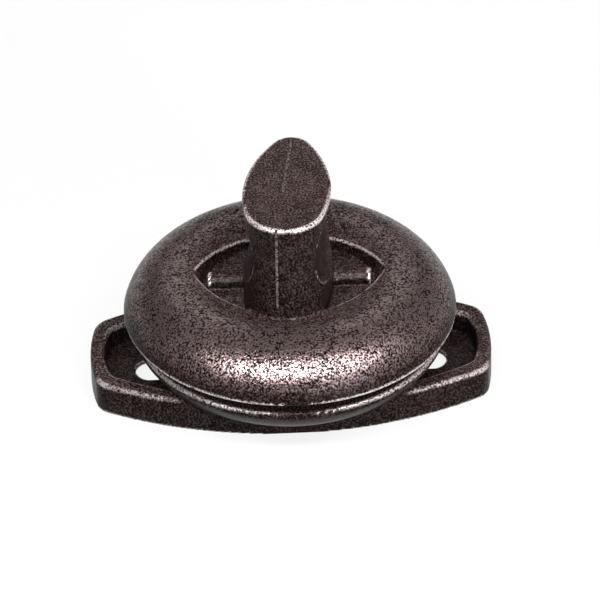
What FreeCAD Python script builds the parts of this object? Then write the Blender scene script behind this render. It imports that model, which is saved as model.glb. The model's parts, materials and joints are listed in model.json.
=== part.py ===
import FreeCAD, Part
import math
import os
import Sketcher

# Cupboard turn button: a cast base plate with two screw ears and a round flange, and a domed knob
# with a lens-shaped recess and an upright grip that turns on a spindle through the flange.
# Millimetres. The origin is the middle of the plate's underside, +Z points up out of the cupboard
# door, X runs along the ears and the grip lies nearly along Y.

driving_sizes = {
    # boat-shaped plate with its two tray-like ears
    "plate_length": 56.4,
    "plate_mid_width": 29.2,
    "plate_end_width": 14.8,
    "plate_end_bulge": 1.0,
    "plate_height": 4.8,
    "plate_corner_radius": 3.2,
    "rim_width": 2.0,
    "rim_edge_bevel": 0.35,
    "back_hollow": 0.7,
    "ear_floor": 0.7,
    "ear_corner_radius": 1.8,
    "screw_spacing": 39.0,
    "screw_hole_diameter": 4.8,
    # hub and saucer-shaped flange
    "hub_diameter": 28.0,
    "flange_bottom_height": 4.35,
    "flange_setback": 1.5,
    "flange_undercut": 3.2,
    "flange_belly_radius": 10.5,
    "flange_land": 1.0,
    "flange_top_height": 8.9,
    "flange_edge_bevel": 0.3,
    "seat_diameter": 36.0,
    "seat_rise": 1.65,
    # domed knob
    "knob_diameter": 46.6,
    "knob_height": 6.9,
    "knob_lip": 0.5,
    "knob_lip_bevel": 0.3,
    "dome_radius": 8.4,
    "dish_diameter": 19.0,
    "dish_slope": 12.0,
    "knob_rest_angle": -1.0,
    # lens-shaped recess in the knob's top
    "recess_length": 26.8,
    "recess_width": 19.6,
    "recess_tip_radius": 1.6,
    "recess_floor_length": 24.4,
    "recess_floor_width": 18.6,
    "recess_floor_tip_radius": 1.2,
    "recess_depth": 1.4,
    # upright grip and the ribs beside it
    "grip_length": 23.2,
    "grip_side_radius": 22.0,
    "grip_height": 21.3,
    "grip_far_radius": 3.0,
    "grip_near_radius": 5.6,
    "grip_skew": -5.0,
    "grip_edge_bevel": 0.3,
    "waist_width": 8.6,
    "waist_radius": 11.0,
    "waist_drop": 6.7,
    "waist_overcut": 0.5,
    "rib_span": 22.8,
    "rib_width": 2.6,
    "rib_rise": 1.8,
    "rib_edge_bevel": 0.8,
    # spindle and what holds it
    "spindle_diameter": 8.0,
    "spindle_clearance": 0.05,
    "axial_play": 0.05,
    "bearing_washer_diameter": 34.0,
    "bearing_washer_thickness": 0.5,
    "counterbore_diameter": 16.4,
    "counterbore_depth": 3.2,
    "spring_washer_diameter": 14.4,
    "spring_washer_thickness": 0.4,
    "spring_washer_rise": 1.0,
    "spring_washer_land": 0.5,
    "retaining_washer_diameter": 14.0,
    "retaining_washer_thickness": 0.8,
    "washer_clearance": 0.2,
    "pivot_screw_diameter": 4.0,
    "pivot_screw_length": 6.0,
    "pivot_thread_clearance": 0.05,
    "pivot_hole_extra": 1.0,
    "pivot_head_diameter": 7.6,
    "pivot_head_height": 0.9,
    "pivot_head_bevel": 0.3,
    "pivot_slot_width": 1.0,
    "pivot_slot_depth": 0.5,
}


class Size:
    # a number together with the expression that gives it from the sheet

    def __init__(self, value, text):
        self.value = value
        self.text = text

    def __add__(self, other):
        return joined(self, "+", other, self.value + number(other))

    def __sub__(self, other):
        return joined(self, "-", other, self.value - number(other))

    def __mul__(self, other):
        return joined(self, "*", other, self.value * number(other))

    def __truediv__(self, other):
        return joined(self, "/", other, self.value / number(other))


def number(item):
    return item.value if isinstance(item, Size) else item


def joined(left, sign, right, value):
    right_text = right.text if isinstance(right, Size) else str(right)
    return Size(value, f"({left.text} {sign} {right_text})")


def size(name):
    return Size(driving_sizes[name], f"Sizes.{name}")


def half(name):
    return size(name) / 2


def root(item):
    return Size(math.sqrt(item.value), f"sqrt({item.text})")


def sine(name):
    return Size(math.sin(math.radians(driving_sizes[name])), f"sin(Sizes.{name})")


def cosine(name):
    return Size(math.cos(math.radians(driving_sizes[name])), f"cos(Sizes.{name})")


def chord_radius(half_chord, rise):
    # radius of the arc that rises this much over this half chord
    return (half_chord * half_chord + rise * rise) / (rise * 2)


zero = Size(0.0, "0")
upward = FreeCAD.Vector(0, 1, 0)
seam_turn = 45
touching = 0.001

doc = FreeCAD.newDocument("turn_button")
sheet = doc.addObject("Spreadsheet::Sheet", "Sizes")
for row, (size_name, size_value) in enumerate(driving_sizes.items(), 1):
    sheet.set(f"A{row}", size_name)
    sheet.set(f"B{row}", str(size_value))
    sheet.setAlias(f"B{row}", size_name)
doc.recompute()


# Shared ways of drawing

def new_body(label):
    body = doc.addObject("PartDesign::Body", label)
    body.Label = label
    return body


def new_sketch(body, role, name, height=None, turn=0):
    sketch = body.newObject("Sketcher::SketchObject", name)
    plane = next(item for item in body.Origin.OriginFeatures if item.Role == role)
    sketch.AttachmentSupport = [(plane, "")]
    sketch.MapMode = "FlatFace"
    if turn:
        sketch.AttachmentOffset = FreeCAD.Placement(FreeCAD.Vector(), FreeCAD.Rotation(upward, turn))
    if height is not None:
        sketch.setExpression("AttachmentOffset.Base.z", height.text)
    return sketch


def bind(sketch, kind, arguments, amount):
    index = sketch.addConstraint(Sketcher.Constraint(kind, *arguments, amount.value))
    sketch.setExpression(f"Constraints[{index}]", amount.text)


def pin_point(sketch, geometry, point, x, y):
    # holds one sketch point at x, y from the sketch's origin
    for kind, axis, amount in (("DistanceX", -2, x), ("DistanceY", -1, y)):
        if amount is zero:
            sketch.addConstraint(Sketcher.Constraint("PointOnObject", geometry, point, axis))
        elif amount.value > 0:
            bind(sketch, kind, (-1, 1, geometry, point), amount)
        else:
            bind(sketch, kind, (geometry, point, -1, 1), zero - amount)


def arc_between(start, end, radius):
    # the shorter counter-clockwise arc from start to end
    chord = end - start
    middle = start + chord * 0.5
    inward = FreeCAD.Vector(-chord.y, chord.x, 0).normalize()
    centre = middle + inward * math.sqrt(max(radius ** 2 - (chord.Length / 2) ** 2, 0))
    first = math.atan2(start.y - centre.y, start.x - centre.x)
    last = math.atan2(end.y - centre.y, end.x - centre.x)
    circle = Part.Circle(centre, FreeCAD.Vector(0, 0, 1), radius)
    return Part.ArcOfCircle(circle, first, last)


def draw_loop(sketch, corners, arcs=None):
    # closed outline through the corners, counter-clockwise; arcs gives the radius of each side that
    # is an arc, by the number of the corner where it starts, negative where the arc is hollow
    arcs = arcs or {}
    count = len(corners)
    places = [FreeCAD.Vector(x.value, y.value, 0) for x, y in corners]
    ends = []
    for index in range(count):
        start, end = places[index], places[(index + 1) % count]
        if index not in arcs:
            geometry = sketch.addGeometry(Part.LineSegment(start, end))
            ends.append((geometry, 1, 2))
        elif arcs[index].value > 0:
            geometry = sketch.addGeometry(arc_between(start, end, arcs[index].value))
            ends.append((geometry, 1, 2))
        else:
            geometry = sketch.addGeometry(arc_between(end, start, -arcs[index].value))
            ends.append((geometry, 2, 1))
    for index in range(count):
        geometry, first, last = ends[index]
        following, following_first, _ = ends[(index + 1) % count]
        sketch.addConstraint(Sketcher.Constraint("Coincident", geometry, last, following, following_first))
    for index, (x, y) in enumerate(corners):
        pin_point(sketch, ends[index][0], ends[index][1], x, y)
    for index, radius in arcs.items():
        bind(sketch, "Radius", (ends[index][0],), radius if radius.value > 0 else zero - radius)


def draw_boat(sketch, length, mid_width, end_width, bulge):
    # two long bulging sides cut off by two short, slightly bulging ends
    reach = length / 2 - bulge
    end_half = end_width / 2
    left, down = zero - reach, zero - end_half
    side_radius = chord_radius(reach, (mid_width - end_width) / 2)
    end_radius = chord_radius(end_half, bulge)
    corners = [(left, down), (reach, down), (reach, end_half), (left, end_half)]
    draw_loop(sketch, corners, {0: side_radius, 1: end_radius, 2: side_radius, 3: end_radius})


def draw_blunt_lens(sketch, length, width, tip):
    # two long arcs along X, each running tangent into the two small arcs that round the tips
    half_width, tip_centre = width / 2, length / 2 - tip
    side = (tip_centre * tip_centre + half_width * half_width - tip * tip) / (width - tip * 2)
    stretch = side / (side - tip)
    meet_x, meet_y = tip_centre * stretch, (side - half_width) * (stretch - 1)
    left, down = zero - meet_x, zero - meet_y
    draw_loop(sketch, [(left, down), (meet_x, down), (meet_x, meet_y), (left, meet_y)],
              {0: side, 1: tip, 2: side, 3: tip})


def draw_egg(sketch, length, far, near, side):
    # two side arcs along Y run tangent into a small far tip and a broad near end; gives the half width
    far_centre, near_centre = length / 2 - far, zero - length / 2 + near
    span, far_arm, near_arm = far_centre - near_centre, side - far, side - near
    drop = (far_arm * far_arm - near_arm * near_arm + span * span) / (span * 2)
    offset = root(far_arm * far_arm - drop * drop)
    far_x, far_y = far * offset / far_arm, far_centre + far * drop / far_arm
    near_x, near_y = near * offset / near_arm, near_centre - near * (span - drop) / near_arm
    draw_loop(sketch, [(zero - near_x, near_y), (near_x, near_y), (far_x, far_y), (zero - far_x, far_y)],
              {0: near, 1: side, 2: far, 3: side})
    return side - offset


def draw_circle(sketch, x, diameter):
    geometry = sketch.addGeometry(Part.Circle(FreeCAD.Vector(x.value, 0, 0), FreeCAD.Vector(0, 0, 1),
                                              diameter.value / 2))
    pin_point(sketch, geometry, 3, x, zero)
    bind(sketch, "Diameter", (geometry,), diameter)


def add_feature(body, kind, name, sketch, length=None, through=False):
    feature = body.newObject(f"PartDesign::{kind}", name)
    feature.Profile = sketch
    if kind in ("Revolution", "Groove"):
        feature.ReferenceAxis = (sketch, ["V_Axis"])
        feature.Angle = 360
    elif through:
        feature.Type = "ThroughAll"
    else:
        feature.setExpression("Length", length.text)
    doc.recompute()
    return feature


def dress_edges(body, kind, name, amount, wanted):
    # rounds or bevels the edges of the body so far that the test picks
    base = body.Tip
    edges = [f"Edge{number}" for number, edge in enumerate(base.Shape.Edges, 1) if wanted(edge)]
    dressing = body.newObject(f"PartDesign::{kind}", name)
    dressing.Base = (base, edges)
    dressing.setExpression("Radius" if kind == "Fillet" else "Size", amount.text)
    doc.recompute()


def add_fillet(body, name, radius, wanted):
    dress_edges(body, "Fillet", name, radius, wanted)


def add_bevel(body, name, width, wanted):
    dress_edges(body, "Chamfer", name, width, wanted)


def near(first, second):
    return abs(first - second) < touching


def level(edge, height):
    box = edge.BoundBox
    return near(box.ZMin, height.value) and near(box.ZMax, height.value)


def upright(edge):
    box = edge.BoundBox
    return max(box.XLength, box.YLength) < touching


def round_edge(edge, diameter, height):
    # a full circle about the axis, of this diameter at this height
    return level(edge, height) and near(edge.BoundBox.XLength, diameter.value)


# Base plate: plate, ear trays, screw holes, hub and flange, stepped bore

plate = new_body("base_plate")
plate_top = size("plate_height")

outline = new_sketch(plate, "XY_Plane", "plate_outline")
draw_boat(outline, size("plate_length"), size("plate_mid_width"), size("plate_end_width"),
          size("plate_end_bulge"))
add_feature(plate, "Pad", "plate_slab", outline, plate_top)
add_fillet(plate, "plate_corners", size("plate_corner_radius"), upright)


def hollow_plate(name, mouth_height, depth):
    # cuts the inside of the rim away, downwards from this height, with rounded corners
    cut = new_sketch(plate, "XY_Plane", name, mouth_height)
    rims = size("rim_width") * 2
    draw_boat(cut, size("plate_length") - rims, size("plate_mid_width") - rims,
              size("plate_end_width") - rims, size("plate_end_bulge"))
    add_feature(plate, "Pocket", f"{name}_cut", cut, depth)

    def corner(edge):
        box = edge.BoundBox
        return upright(edge) and near(box.ZMax, mouth_height.value) and near(box.ZLength, depth.value)

    add_fillet(plate, f"{name}_corners", size("ear_corner_radius"), corner)


floor_top = size("back_hollow") + size("ear_floor")
hollow_plate("ear_trays", plate_top, plate_top - floor_top)
add_bevel(plate, "rim_edges", size("rim_edge_bevel"), lambda edge: level(edge, plate_top))
hollow_plate("hollow_back", size("back_hollow"), size("back_hollow"))

holes = new_sketch(plate, "XY_Plane", "screw_holes", floor_top)
for place in (half("screw_spacing"), zero - half("screw_spacing")):
    draw_circle(holes, place, size("screw_hole_diameter"))
add_feature(plate, "Pocket", "screw_holes_cut", holes, through=True)

saucer = new_sketch(plate, "XZ_Plane", "hub_and_flange", turn=seam_turn)
flange_reach = half("knob_diameter") - size("flange_setback")
flange_foot = flange_reach - size("flange_undercut")
flange_top = size("flange_top_height")
seat_top = flange_top + size("seat_rise")
draw_loop(saucer, [
    (zero, zero),
    (half("hub_diameter"), zero),
    (half("hub_diameter"), size("flange_bottom_height")),
    (flange_foot, size("flange_bottom_height")),
    (flange_reach, flange_top - size("flange_land")),
    (flange_reach, flange_top),
    (half("seat_diameter"), flange_top),
    (half("seat_diameter"), seat_top),
    (zero, seat_top),
], {3: size("flange_belly_radius")})
add_feature(plate, "Revolution", "hub_and_flange_turned", saucer)

bore = half("spindle_diameter") + size("spindle_clearance")
counterbore_top = size("counterbore_depth")
stepped_bore = new_sketch(plate, "XZ_Plane", "stepped_bore")
draw_loop(stepped_bore, [
    (zero, zero),
    (half("counterbore_diameter"), zero),
    (half("counterbore_diameter"), counterbore_top),
    (bore, counterbore_top),
    (bore, seat_top),
    (zero, seat_top),
])
add_feature(plate, "Groove", "stepped_bore_cut", stepped_bore)
add_bevel(plate, "flange_edge", size("flange_edge_bevel"),
          lambda edge: round_edge(edge, flange_reach * 2, flange_top))

# Turn knob: dome and spindle in one turning, recess, grip, ribs, tapped hole.
# Drawn with its underside at height zero and lifted onto the bearing washer afterwards.

knob = new_body("turn_knob")
knob_seat = seat_top + size("bearing_washer_thickness") + size("axial_play")
washer_face = counterbore_top - size("spring_washer_rise") - size("axial_play")
spindle_end = washer_face - knob_seat

# The dome's arc runs over the crown and tangent into the slope of the dish
bend = size("dome_radius")
bend_height = size("knob_height") - bend
lip_rise = size("knob_lip") - bend_height
bend_place = half("knob_diameter") - root(bend * bend - lip_rise * lip_rise)
slope_start = bend_place - bend * sine("dish_slope")
slope_top = bend_height + bend * cosine("dish_slope")
slope_run = slope_start - half("dish_diameter")
dish = slope_top - slope_run * sine("dish_slope") / cosine("dish_slope")

dome = new_sketch(knob, "XZ_Plane", "dome_and_spindle", turn=seam_turn)
draw_loop(dome, [
    (zero, spindle_end),
    (half("spindle_diameter"), spindle_end),
    (half("spindle_diameter"), zero),
    (half("knob_diameter"), zero),
    (half("knob_diameter"), size("knob_lip")),
    (slope_start, slope_top),
    (half("dish_diameter"), dish),
    (zero, dish),
], {4: bend})
add_feature(knob, "Revolution", "dome_and_spindle_turned", dome)
add_bevel(knob, "knob_lip_edge", size("knob_lip_bevel"),
          lambda edge: round_edge(edge, size("knob_diameter"), zero))

recess_floor = dish - size("recess_depth")
mouth = new_sketch(knob, "XY_Plane", "recess_mouth", size("knob_height"))
draw_blunt_lens(mouth, size("recess_length"), size("recess_width"), size("recess_tip_radius"))
recess_bed = new_sketch(knob, "XY_Plane", "recess_bed", recess_floor)
draw_blunt_lens(recess_bed, size("recess_floor_length"), size("recess_floor_width"),
                size("recess_floor_tip_radius"))
recess = knob.newObject("PartDesign::SubtractiveLoft", "lens_recess")
recess.Profile = mouth
recess.Sections = [recess_bed]
recess.Ruled = True
doc.recompute()

grip_plan = new_sketch(knob, "XY_Plane", "grip_plan")
grip_plan.setExpression("AttachmentOffset.Rotation.Angle", "Sizes.grip_skew")
grip_half = draw_egg(grip_plan, size("grip_length"), size("grip_far_radius"), size("grip_near_radius"),
                     size("grip_side_radius"))
add_feature(knob, "Pad", "grip", grip_plan, size("grip_height"))
add_bevel(knob, "grip_top_edge", size("grip_edge_bevel"), lambda edge: level(edge, size("grip_height")))

# Finger hollows: an arc on each side draws the grip in to a waist under its top
waist = new_sketch(knob, "XZ_Plane", "grip_waist", turn=driving_sizes["grip_skew"])
waist.setExpression("AttachmentOffset.Rotation.Angle", "Sizes.grip_skew")
waist_level = size("grip_height") - size("waist_drop")
hollow_side = grip_half + size("waist_overcut")
hollow_depth = hollow_side - half("waist_width")
hollow_rise = root(hollow_depth * (size("waist_radius") * 2 - hollow_depth))
hollow_low, hollow_high = waist_level - hollow_rise, waist_level + hollow_rise
hollow_end = half("knob_diameter")
draw_loop(waist, [(hollow_end, hollow_high), (hollow_side, hollow_high), (hollow_side, hollow_low),
                  (hollow_end, hollow_low)], {1: size("waist_radius")})
draw_loop(waist, [(zero - hollow_end, hollow_low), (zero - hollow_side, hollow_low),
                  (zero - hollow_side, hollow_high), (zero - hollow_end, hollow_high)],
          {1: size("waist_radius")})
add_feature(knob, "Pocket", "grip_waist_cut", waist, through=True).Midplane = True
doc.recompute()

pivot_hole = new_sketch(knob, "XZ_Plane", "pivot_hole")
thread = half("pivot_screw_diameter") + size("pivot_thread_clearance")
hole_end = spindle_end + size("pivot_screw_length") + size("pivot_hole_extra")
draw_loop(pivot_hole, [(zero, spindle_end), (thread, spindle_end), (thread, hole_end), (zero, hole_end)])
add_feature(knob, "Groove", "pivot_hole_cut", pivot_hole)

# One bar in section, its upper edges bevelled, runs through the grip and shows as a rib on each side
ribs = new_sketch(knob, "YZ_Plane", "rib_section")
rib_side, rib_top = half("rib_width"), recess_floor + size("rib_rise")
rib_shoulder, rib_crest = rib_top - size("rib_edge_bevel"), rib_side - size("rib_edge_bevel")
draw_loop(ribs, [
    (zero - rib_side, recess_floor),
    (rib_side, recess_floor),
    (rib_side, rib_shoulder),
    (rib_crest, rib_top),
    (zero - rib_crest, rib_top),
    (zero - rib_side, rib_shoulder),
])
add_feature(knob, "Pad", "ribs_raised", ribs, size("rib_span")).Midplane = True
doc.recompute()

knob.setExpression("Placement.Base.z", knob_seat.text)
knob.setExpression("Placement.Rotation.Angle", "Sizes.knob_rest_angle")

# Plain washers, each drawn on its own underside and lifted into place


def plain_washer(label, outer, inner, thickness, height):
    body = new_body(label)
    ring = new_sketch(body, "XY_Plane", f"{label}_ring")
    draw_circle(ring, zero, outer)
    draw_circle(ring, zero, inner)
    add_feature(body, "Pad", f"{label}_pad", ring, thickness)
    body.setExpression("Placement.Base.z", height.text)
    return body


around_spindle = size("spindle_diameter") + size("washer_clearance") * 2
around_screw = size("pivot_screw_diameter") + size("washer_clearance") * 2
retainer_face = washer_face - size("retaining_washer_thickness")
bearing_washer = plain_washer("bearing_washer", size("bearing_washer_diameter"), around_spindle,
                              size("bearing_washer_thickness"), seat_top)
retaining_washer = plain_washer("retaining_washer", size("retaining_washer_diameter"), around_screw,
                                size("retaining_washer_thickness"), retainer_face)

# Spring washer: a shallow cone with a narrow flat land at each edge

spring = new_body("spring_washer")
cone = new_sketch(spring, "XZ_Plane", "spring_section")
inner, outer = around_spindle / 2, half("spring_washer_diameter")
land, sheet_metal = size("spring_washer_land"), size("spring_washer_thickness")
rise = size("spring_washer_rise")
draw_loop(cone, [
    (outer - land, zero),
    (outer, zero),
    (outer, sheet_metal),
    (inner + land, rise),
    (inner, rise),
    (inner, rise - sheet_metal),
])
add_feature(spring, "Revolution", "spring_turned", cone)
spring.setExpression("Placement.Base.z", (counterbore_top - rise).text)

# Pivot screw: pan head below, shank up into the spindle, slot across the head

screw = new_body("pivot_screw")
head = size("pivot_head_height")
turning = new_sketch(screw, "XZ_Plane", "screw_section")
shank_end = head + size("retaining_washer_thickness") + size("pivot_screw_length")
draw_loop(turning, [
    (zero, zero),
    (half("pivot_head_diameter"), zero),
    (half("pivot_head_diameter"), head),
    (half("pivot_screw_diameter"), head),
    (half("pivot_screw_diameter"), shank_end),
    (zero, shank_end),
])
add_feature(screw, "Revolution", "screw_turned", turning)
add_bevel(screw, "head_edge", size("pivot_head_bevel"),
          lambda edge: round_edge(edge, size("pivot_head_diameter"), zero))
slot = new_sketch(screw, "XY_Plane", "slot_plan", size("pivot_slot_depth"))
slot_half, slot_side = half("pivot_head_diameter"), half("pivot_slot_width")
draw_loop(slot, [(zero - slot_half, zero - slot_side), (slot_half, zero - slot_side),
                 (slot_half, slot_side), (zero - slot_half, slot_side)])
add_feature(screw, "Pocket", "driver_slot", slot, through=True)
screw.setExpression("Placement.Base.z", (retainer_face - head).text)

# Test every object, then write one file for each piece

doc.recompute()
for item in doc.Objects:
    if "Invalid" in item.State or "Error" in item.State:
        raise RuntimeError(f"{item.Label} failed: {item.State}")
pieces = [plate, knob, bearing_washer, spring, retaining_washer, screw]
for piece in pieces:
    if piece.Shape.isNull() or not piece.Shape.isValid() or len(piece.Shape.Solids) != 1:
        raise RuntimeError(f"{piece.Label} is not one valid solid")
os.makedirs("parts", exist_ok=True)
for piece in pieces:
    piece.Shape.exportStep(f"parts/{piece.Label}.step")
    box = piece.Shape.BoundBox
    print(f"{piece.Label}: {piece.Shape.Volume:.1f} mm3, z {box.ZMin:.2f} to {box.ZMax:.2f}")
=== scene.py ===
import bmesh
import bpy
import json
import math
import numpy as np
from mathutils import Matrix, Vector
from mathutils.bvhtree import BVHTree


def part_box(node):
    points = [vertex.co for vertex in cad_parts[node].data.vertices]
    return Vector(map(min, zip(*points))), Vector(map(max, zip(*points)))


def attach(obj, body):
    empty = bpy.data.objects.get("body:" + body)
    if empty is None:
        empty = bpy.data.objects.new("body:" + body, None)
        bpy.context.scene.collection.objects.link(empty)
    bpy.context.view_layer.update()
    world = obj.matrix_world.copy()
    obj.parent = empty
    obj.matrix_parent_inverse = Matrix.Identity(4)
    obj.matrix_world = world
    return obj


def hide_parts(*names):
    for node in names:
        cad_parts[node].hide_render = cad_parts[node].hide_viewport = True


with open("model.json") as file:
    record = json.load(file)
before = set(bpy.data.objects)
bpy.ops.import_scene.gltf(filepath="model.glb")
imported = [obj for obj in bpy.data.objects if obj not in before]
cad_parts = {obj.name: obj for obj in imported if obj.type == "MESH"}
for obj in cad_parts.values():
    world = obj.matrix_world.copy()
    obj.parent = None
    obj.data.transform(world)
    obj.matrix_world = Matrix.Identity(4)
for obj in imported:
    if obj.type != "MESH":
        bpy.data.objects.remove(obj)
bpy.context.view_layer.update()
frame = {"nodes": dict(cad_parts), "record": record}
nodes = frame["nodes"]
scene = bpy.context.scene
mm = 0.001
whole = (0, 1)  # a share from none to all
print("frame loaded:", ", ".join(sorted(nodes)))


# shader node helpers

def newMaterial(name):
    material = bpy.data.materials.new(name)
    material.use_nodes = True
    tree = material.node_tree
    return material, tree, tree.nodes["Principled BSDF"]


def addNode(tree, kind, inputs=None, **settings):
    node = tree.nodes.new(kind)
    for key, value in settings.items():
        setattr(node, key, value)
    for key, value in (inputs or {}).items():
        if isinstance(value, bpy.types.NodeSocket):
            tree.links.new(value, node.inputs[key])
        else:
            node.inputs[key].default_value = value
    return node


def addRamp(tree, source, places, tones):
    ramp = addNode(tree, "ShaderNodeValToRGB", {"Fac": source})
    points = ramp.color_ramp.elements
    while len(points) < len(places):
        points.new(places[len(points) - 1])
    for point, place, tone in zip(points, places, tones):
        point.position = place
        point.color = (*tone, 1)
    return ramp.outputs["Color"]


def addNoise(tree, values):
    place = addNode(tree, "ShaderNodeTexCoord").outputs["Object"]
    return addNode(tree, "ShaderNodeTexNoise", {
        "Vector": place, "Scale": 1 / (values["sizeMm"] * mm),
        "Detail": values["detail"], "Roughness": values["roughness"]}).outputs["Fac"]


def addMath(tree, operation, first, second):
    return addNode(tree, "ShaderNodeMath", {0: first, 1: second}, operation=operation).outputs[0]


def addRange(tree, source, limits, toLow, toHigh):
    return addNode(tree, "ShaderNodeMapRange", {
        "Value": source, "From Min": limits[0], "From Max": limits[1],
        "To Min": toLow, "To Max": toHigh}).outputs["Result"]


def addMix(tree, share, first, tone):
    return addNode(tree, "ShaderNodeMix", {"Factor": share, "A": first, "B": (*tone, 1)},
                   data_type="RGBA").outputs["Result"]


def readAttribute(tree, name):
    return addNode(tree, "ShaderNodeAttribute", attribute_name=name).outputs["Fac"]


# dark brown-black casting: fine sand grain, bright worn edges with a painted highlight, the ring that
# hands polish, and painted shade on the sides, low in the trays and in the hollows

darkCasting = {
    "pitTone": (0.008, 0.0036, 0.0034),
    "bodyTone": (0.035, 0.0205, 0.0195),
    "fleckTone": (0.130, 0.096, 0.093),
    "toneStops": (0.38, 0.50, 0.62),
    "wornGlintTone": (0.75, 0.66, 0.655),
    "rubbedMetal": 0.35,
    "rubbedGrain": (0.36, 0.52),
    "polishedTone": (0.250, 0.184, 0.181),
    "polishedMetal": 0.9,
    "polishedGrain": (0.43, 0.61),
    "sideShadeShare": 0.38,
    "hollowShadeShare": 0.90,
    "pitShare": 0.40,
    "grain": {"sizeMm": 0.27, "detail": 1.5, "roughness": 0.5},
    "mottle": {"sizeMm": 1.5, "detail": 4.0, "roughness": 0.55},
    "patches": {"sizeMm": 8.0, "detail": 2.0, "roughness": 0.55},
    "grainInSpeckle": 0.8,
    "mottleInSpeckle": 0.2,
    "patchLimits": (0.3, 0.7),
    "roughness": (0.25, 0.31),
    "specular": 0.03,
    "grainBump": 1.0,
    "grainDepthMm": 0.06,
    "waveBump": 0.30,
    "waveDepthMm": 0.12,
}


def makeDarkCasting():
    values = darkCasting
    material, tree, shader = newMaterial("darkCasting")
    grain, mottle, patches = (addNoise(tree, values[name]) for name in ("grain", "mottle", "patches"))
    speckle = addMath(tree, "ADD", addMath(tree, "MULTIPLY", grain, values["grainInSpeckle"]),
                      addMath(tree, "MULTIPLY", mottle, values["mottleInSpeckle"]))
    tone = addRamp(tree, speckle, values["toneStops"],
                   [values[name] for name in ("pitTone", "bodyTone", "fleckTone")])
    # painted shade: darker on the sides, low in the trays and in the hollows; darker too between polished
    # grains
    handled = readAttribute(tree, "handPolish")
    share = addMath(tree, "MULTIPLY",
                    addRange(tree, readAttribute(tree, "paintedLightShare"), whole, values["sideShadeShare"], 1),
                    addRange(tree, readAttribute(tree, "hollow"), whole, 1, values["hollowShadeShare"]))
    share = addMath(tree, "MULTIPLY", share, addRange(tree, handled, whole, 1, values["pitShare"]))
    tone = addNode(tree, "ShaderNodeVectorMath", {0: tone, "Scale": share}, operation="SCALE").outputs[0]
    # bright bare metal on the raised grains of the ring, and on edges as wear with a painted highlight
    rubbed = addMath(tree, "MULTIPLY", readAttribute(tree, "edgeWearAndGlint"),
                     addRange(tree, grain, values["rubbedGrain"], *whole))
    polished = addMath(tree, "MULTIPLY", handled, addRange(tree, speckle, values["polishedGrain"], *whole))
    tone = addMix(tree, rubbed, tone, values["wornGlintTone"])
    tone = addMix(tree, polished, tone, values["polishedTone"])
    metal = addMath(tree, "MAXIMUM", addMath(tree, "MULTIPLY", polished, values["polishedMetal"]),
                    addMath(tree, "MULTIPLY", rubbed, values["rubbedMetal"]))
    rough = addRange(tree, patches, values["patchLimits"], *values["roughness"])
    waves = addNode(tree, "ShaderNodeBump", {
        "Strength": values["waveBump"], "Distance": values["waveDepthMm"] * mm, "Height": mottle})
    bump = addNode(tree, "ShaderNodeBump", {
        "Strength": values["grainBump"], "Distance": values["grainDepthMm"] * mm,
        "Height": grain, "Normal": waves.outputs["Normal"]})
    for socket, source in (("Base Color", tone), ("Metallic", metal), ("Roughness", rough),
                           ("Normal", bump.outputs["Normal"])):
        tree.links.new(source, shader.inputs[socket])
    shader.inputs["Specular IOR Level"].default_value = values["specular"]
    return material


# plain steel of the washers and the screw

washerSteel = {
    "dullTone": (0.28, 0.27, 0.26),
    "tone": (0.42, 0.41, 0.40),
    "toneStops": (0.35, 0.65),
    "roughness": 0.38,
    "brush": {"sizeMm": 0.25, "detail": 4.0, "roughness": 0.55},
    "brushBump": 0.15,
    "brushDepthMm": 0.02,
}


def makeWasherSteel():
    values = washerSteel
    material, tree, shader = newMaterial("washerSteel")
    brush = addNoise(tree, values["brush"])
    tone = addRamp(tree, brush, values["toneStops"], [values["dullTone"], values["tone"]])
    bump = addNode(tree, "ShaderNodeBump", {
        "Strength": values["brushBump"], "Distance": values["brushDepthMm"] * mm, "Height": brush})
    tree.links.new(tone, shader.inputs["Base Color"])
    tree.links.new(bump.outputs["Normal"], shader.inputs["Normal"])
    shader.inputs["Metallic"].default_value = 1.0
    shader.inputs["Roughness"].default_value = values["roughness"]
    return material


finishes = {"dark_casting": makeDarkCasting(), "washer_steel": makeWasherSteel()}
for part in frame["record"]["subparts"]:
    nodeMesh = nodes[part["node"]].data
    nodeMesh.materials.clear()
    nodeMesh.materials.append(finishes[part["material_slot"]])
print("finishes made:", ", ".join(finishes))


# edge wear with a painted edge highlight, hand polish, and painted shade on sides, in the trays and in the
# hollows, kept as point attributes that the dark casting's finish reads

# the worn bends set the edge wear and its painted highlight; the hollow bends set the painted shade in the
# hollows
edgeWearAndGlint = {"wornBendsPerMm": (0.42, 0.95), "wornSpread": 2,
            "hollowBendsPerMm": (0.09, 0.50), "hollowSpread": 60, "neighbourShare": 0.5}
# the upward normals and the low share set the painted shade on sides and low in the trays; the polish
# normals set where hands polish
polishAndShadeMasks = {"upwardNormals": (0.3, 0.8), "lowShadeShare": 0.3, "polishNormals": (0.35, 0.70)}


def rise(amounts, limits):
    # 0 at the first limit, 1 at the second
    low, high = limits
    return np.clip((amounts - low) / (high - low), 0, 1)


def readPoints(mesh):
    # places in mm, and normals
    places = np.empty(len(mesh.vertices) * 3)
    mesh.vertices.foreach_get("co", places)
    normals = np.empty(len(mesh.vertices) * 3)
    mesh.vertices.foreach_get("normal", normals)
    return places.reshape(-1, 3) / mm, normals.reshape(-1, 3)


def writeAttribute(mesh, name, amounts):
    mesh.attributes.new(name, "FLOAT", "POINT").data.foreach_set("value", amounts.astype(np.float32))


def neighbourMean(edges, links, amounts):
    # mean of each point's neighbours along the mesh edges
    total = np.zeros_like(amounts)
    for near, far in (edges.T, edges.T[::-1]):
        np.add.at(total, near, amounts[far])
    return (total.T / links).T


def spreadAlong(edges, links, amounts, passes):
    share = edgeWearAndGlint["neighbourShare"]
    for _ in range(passes):
        amounts = (1 - share) * amounts + share * neighbourMean(edges, links, amounts)
    return amounts


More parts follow.
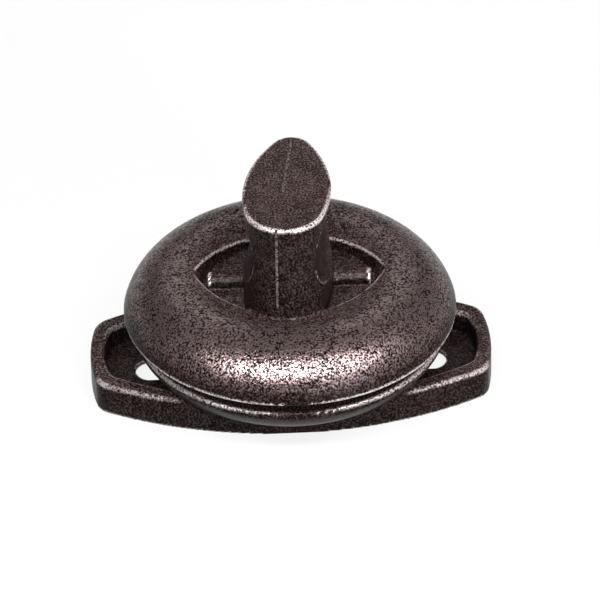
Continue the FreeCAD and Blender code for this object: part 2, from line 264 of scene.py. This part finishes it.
def markEdgeWearGlintAndShade(mesh, wearAndGlintShare):
    # outward bends get wear with a painted highlight: how far a point stands above the mean of its
    # neighbours
    # inward bends, spread wider, get painted shade
    places, normals = readPoints(mesh)
    edges = np.empty(len(mesh.edges) * 2, dtype=np.int64)
    mesh.edges.foreach_get("vertices", edges)
    links = np.bincount(edges, minlength=len(places))
    ends = edges.reshape(-1, 2)
    spans = ((places[ends[:, 0]] - places[ends[:, 1]]) ** 2).sum(1)
    meanSpan = np.bincount(edges, np.repeat(spans, 2)) / links
    bend = 2 * ((places - neighbourMean(ends, links, places)) * normals).sum(1) / meanSpan
    bend = spreadAlong(ends, links, bend, edgeWearAndGlint["wornSpread"])
    writeAttribute(mesh, "edgeWearAndGlint", wearAndGlintShare * rise(bend, edgeWearAndGlint["wornBendsPerMm"]))
    bend = spreadAlong(ends, links, bend, edgeWearAndGlint["hollowSpread"])
    writeAttribute(mesh, "hollow", rise(-bend, edgeWearAndGlint["hollowBendsPerMm"]))


def markPolishAndPaintedShade(mesh, trayShadeHeightsMm, polishRadiiMm):
    # painted shade: full tone where a point faces up and stands high, darker on the sides and low in the
    # trays; hands polish the ring between two radii
    places, normals = readPoints(mesh)
    upward = rise(normals[:, 2], polishAndShadeMasks["upwardNormals"])
    upward *= np.maximum(rise(places[:, 2], trayShadeHeightsMm), polishAndShadeMasks["lowShadeShare"])
    writeAttribute(mesh, "paintedLightShare", upward)
    if polishRadiiMm:
        polish = rise(normals[:, 2], polishAndShadeMasks["polishNormals"])
        polish *= rise(np.hypot(places[:, 0], places[:, 1]), polishRadiiMm)
        writeAttribute(mesh, "handPolish", polish)


# the two castings: the solids with the soft edges of a sand casting

castSkin = {"weldMm": 0.002, "voxelMm": 0.20, "softFactor": 0.5, "softPasses": 6, "triangles": 95000}
# the wear share scales the edge wear and its painted highlight; below the tray heights the painted shade
# darkens the tone
plateCasting = {"node": "base_plate", "body": "base", "wearAndGlintShare": 0.7,
                "trayShadeHeightsMm": (1.5, 4.0), "polishRadiiMm": None}
knobCasting = {"node": "turn_knob", "body": "knob", "wearAndGlintShare": 1.0,
               "trayShadeHeightsMm": (11.0, 12.0), "polishRadiiMm": (12.5, 15.5)}


def applyModifiers(piece):
    settled = piece.evaluated_get(bpy.context.evaluated_depsgraph_get())
    finished = bpy.data.meshes.new_from_object(settled)
    piece.modifiers.clear()
    piece.data = finished


def makeCasting(name, values):
    mesh = nodes[values["node"]].data.copy()
    shape = bmesh.new()
    shape.from_mesh(mesh)
    bmesh.ops.remove_doubles(shape, verts=shape.verts, dist=castSkin["weldMm"] * mm)
    shape.to_mesh(mesh)
    shape.free()
    piece = bpy.data.objects.new(name, mesh)
    scene.collection.objects.link(piece)
    remesh = piece.modifiers.new("evenSkin", "REMESH")
    remesh.mode = "VOXEL"
    remesh.voxel_size = castSkin["voxelMm"] * mm
    soften = piece.modifiers.new("castEdges", "SMOOTH")
    soften.factor = castSkin["softFactor"]
    soften.iterations = castSkin["softPasses"]
    applyModifiers(piece)
    thin = piece.modifiers.new("fewerFaces", "DECIMATE")
    thin.ratio = min(1.0, castSkin["triangles"] / (2 * len(piece.data.polygons)))  # two triangles a face
    applyModifiers(piece)
    mesh = piece.data
    mesh.name = name
    mesh.polygons.foreach_set("use_smooth", [True] * len(mesh.polygons))
    markEdgeWearGlintAndShade(mesh, values["wearAndGlintShare"])
    markPolishAndPaintedShade(mesh, values["trayShadeHeightsMm"], values["polishRadiiMm"])
    mesh.materials.clear()
    mesh.materials.append(finishes["dark_casting"])
    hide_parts(values["node"])
    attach(piece, values["body"])
    print(name, "cast with", len(mesh.polygons), "faces")
    return piece


makeCasting("plateCasting", plateCasting)
knobPiece = makeCasting("knobCasting", knobCasting)


# the parting line that the mould left along the grip's flat top and down its near end

gripSeam = {
    "widthMm": 0.34,
    "topLengthMm": 12.4,
    "topMiddleMm": (0.07, 3.75),
    "endLengthMm": 13.0,
    "endAcrossMm": -2.05,
    "turnDeg": -7.9,
    "proudMm": 0.07,
    "sunkMm": 0.25,
    "roundMm": 0.06,
    "roundSegments": 2,
    "wear": 0.10,
}


def addBead(shape, size, turn, middle):
    made = bmesh.ops.create_cube(shape, size=1)["verts"]
    bmesh.ops.scale(shape, verts=made, vec=size)
    bmesh.ops.rotate(shape, verts=made, matrix=Matrix.Rotation(turn, 3, "Z"))
    bmesh.ops.translate(shape, verts=made, vec=middle)


def makeGripSeam(knob):
    values = gripSeam
    width, proud = values["widthMm"] * mm, values["proudMm"] * mm
    thick = proud + values["sunkMm"] * mm
    turn = math.radians(values["turnDeg"])
    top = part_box("turn_knob")[1][2]
    shape = bmesh.new()
    across, along = (amount * mm for amount in values["topMiddleMm"])
    long, height = values["topLengthMm"] * mm, top + proud - thick / 2
    addBead(shape, (width, long, thick), turn, (across, along, height))
    # the near end's face is found by looking at the grip from the front
    tall, across = values["endLengthMm"] * mm, values["endAcrossMm"] * mm
    height = top - tall / 2
    skin = BVHTree.FromPolygons([vertex.co for vertex in knob.data.vertices],
                                [face.vertices for face in knob.data.polygons])
    front = skin.ray_cast(Vector((across, -1, height)), Vector((0, 1, 0)))[0].y
    addBead(shape, (width, thick, tall), turn, (across, front - proud + thick / 2, height))
    bmesh.ops.bevel(shape, geom=shape.edges[:], offset=values["roundMm"] * mm, offset_type="OFFSET",
                    affect="EDGES", segments=values["roundSegments"], profile=0.5, material=-1)
    mesh = bpy.data.meshes.new("gripSeam")
    shape.to_mesh(mesh)
    shape.free()
    mesh.materials.append(finishes["dark_casting"])
    # the seam bead keeps full tone without painted side shade, and gets a little edge wear with its
    # painted highlight
    everyPoint = np.ones(len(mesh.vertices))
    writeAttribute(mesh, "paintedLightShare", everyPoint)
    writeAttribute(mesh, "edgeWearAndGlint", everyPoint * values["wear"])
    piece = bpy.data.objects.new("gripSeam", mesh)
    scene.collection.objects.link(piece)
    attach(piece, "knob")
    print("gripSeam laid on the grip, near end at", round(front / mm, 2), "mm")


makeGripSeam(knobPiece)


# pale floor: white to the camera and in reflections, with a soft trace of the shadow

paleFloor = {"halfSize": 1.5, "dropMm": 0.02, "tone": 0.90, "bounceTone": 0.14,
             "whiteShare": 0.85, "roughness": 0.9}


def seenRays(tree):
    path = addNode(tree, "ShaderNodeLightPath").outputs
    seen = addMath(tree, "MAXIMUM", path["Is Camera Ray"], path["Is Glossy Ray"])
    return addMath(tree, "MAXIMUM", seen, path["Is Transmission Ray"])


def makeFloor():
    values = paleFloor
    bpy.ops.mesh.primitive_plane_add(size=2 * values["halfSize"], location=(0, 0, -values["dropMm"] * mm))
    floor = bpy.context.object
    floor.name = "floor"
    material, tree, shader = newMaterial("paleFloor")
    seen = seenRays(tree)
    tone = addRange(tree, seen, whole, values["bounceTone"], values["tone"])
    tree.links.new(tone, shader.inputs["Base Color"])
    shader.inputs["Roughness"].default_value = values["roughness"]
    shader.inputs["Specular IOR Level"].default_value = 0.0
    share = addMath(tree, "MULTIPLY", seen, values["whiteShare"])
    white = addNode(tree, "ShaderNodeEmission", {"Color": (1, 1, 1, 1), "Strength": 1.0})
    mix = addNode(tree, "ShaderNodeMixShader", {0: share, 1: shader.outputs[0], 2: white.outputs[0]})
    tree.links.new(mix.outputs[0], tree.nodes["Material Output"].inputs["Surface"])
    floor.data.materials.append(material)


makeFloor()
print("floor laid")


# studio lamps, in metres, degrees and watts: a softbox above the front, a weak one behind,
# a small one low at the right, and a strip near the first that only reflections see

lampAim = (0, 0, 0.014)
lamps = {
    "softbox": {"azimuth": -3, "elevation": 57, "distance": 0.55,
                "width": 0.72, "height": 0.07, "power": 4.4, "lightsMatt": True},
    "backLight": {"azimuth": 180, "elevation": 42, "distance": 0.60,
                  "width": 0.50, "height": 0.30, "power": 0.5, "lightsMatt": True},
    "sideLight": {"azimuth": 30, "elevation": 9, "distance": 0.60,
                  "width": 0.16, "height": 0.12, "power": 3.2, "lightsMatt": True},
    "glintStrip": {"azimuth": 6, "elevation": 51, "distance": 0.55,
                   "width": 0.95, "height": 0.17, "power": 17.0, "lightsMatt": False},
}


def viewAxes(azimuth, elevation):
    turn, lift = math.radians(azimuth), math.radians(elevation)
    back = Vector((math.sin(turn) * math.cos(lift), -math.cos(turn) * math.cos(lift), math.sin(lift)))
    right = Vector((math.cos(turn), math.sin(turn), 0))
    return right, back.cross(right), back


def placeAlong(thing, aim, right, up, back, distance):
    thing.rotation_euler = Matrix((right, up, back)).transposed().to_euler()
    thing.location = aim + back * distance


def addLamp(name, values):
    lamp = bpy.data.lights.new(name, "AREA")
    lamp.shape = "RECTANGLE"
    lamp.size = values["width"]
    lamp.size_y = values["height"]
    lamp.energy = values["power"]
    holder = bpy.data.objects.new(name, lamp)
    holder.visible_diffuse = values["lightsMatt"]
    scene.collection.objects.link(holder)
    axes = viewAxes(values["azimuth"], values["elevation"])
    placeAlong(holder, Vector(lampAim), *axes, values["distance"])


for lampName, lampValues in lamps.items():
    addLamp(lampName, lampValues)


# world: a weak even light that is seen as white along the horizon and dim towards the ceiling

studioWorld = {"ambient": 0.14, "horizon": 1.0, "ceiling": 0.05, "horizonHeights": (0.05, 0.09)}


def makeWorld():
    values = studioWorld
    world = bpy.data.worlds.new("studioWorld")
    scene.world = world
    world.use_nodes = True
    tree = world.node_tree
    ambient = tree.nodes["Background"]
    ambient.inputs["Color"].default_value = (1, 1, 1, 1)
    ambient.inputs["Strength"].default_value = values["ambient"]
    place = addNode(tree, "ShaderNodeTexCoord").outputs["Generated"]
    height = addNode(tree, "ShaderNodeSeparateXYZ", {"Vector": place}).outputs["Z"]
    shade = addRange(tree, height, values["horizonHeights"], values["horizon"], values["ceiling"])
    white = addNode(tree, "ShaderNodeBackground", {"Color": (1, 1, 1, 1), "Strength": shade})
    mix = addNode(tree, "ShaderNodeMixShader", {
        0: seenRays(tree), 1: ambient.outputs[0], 2: white.outputs[0]})
    tree.links.new(mix.outputs[0], tree.nodes["World Output"].inputs["Surface"])


makeWorld()
scene.view_settings.view_transform = "Standard"
print("lamps and world set")


# camera at the photograph's view: far off, and rolled a little

photoView = {
    "azimuth": -2.0,
    "elevation": 35.66,
    "roll": 1.15,
    "distance": 0.85,
    "imagePixels": 600,
    "pixelMm": 0.1411,
    "originPixel": (291.34, 371.94),
    "sensor": 36.0,
    "nearClip": 0.01,
}


def makeCamera():
    values = photoView
    side, up, back = viewAxes(values["azimuth"], values["elevation"])
    roll = math.radians(values["roll"])
    right = side * math.cos(roll) - up * math.sin(roll)
    top = side * math.sin(roll) + up * math.cos(roll)
    pixel = values["pixelMm"] * mm
    middle = values["imagePixels"] / 2
    across, down = values["originPixel"]
    aim = right * ((middle - across) * pixel) + top * ((down - middle) * pixel)
    lens = bpy.data.cameras.new("photoCamera")
    lens.sensor_width = values["sensor"]
    lens.lens = values["sensor"] * values["distance"] / (values["imagePixels"] * pixel)
    lens.clip_start = values["nearClip"]
    camera = bpy.data.objects.new("photoCamera", lens)
    scene.collection.objects.link(camera)
    placeAlong(camera, aim, right, top, back, values["distance"])
    scene.camera = camera


makeCamera()
print("camera placed")
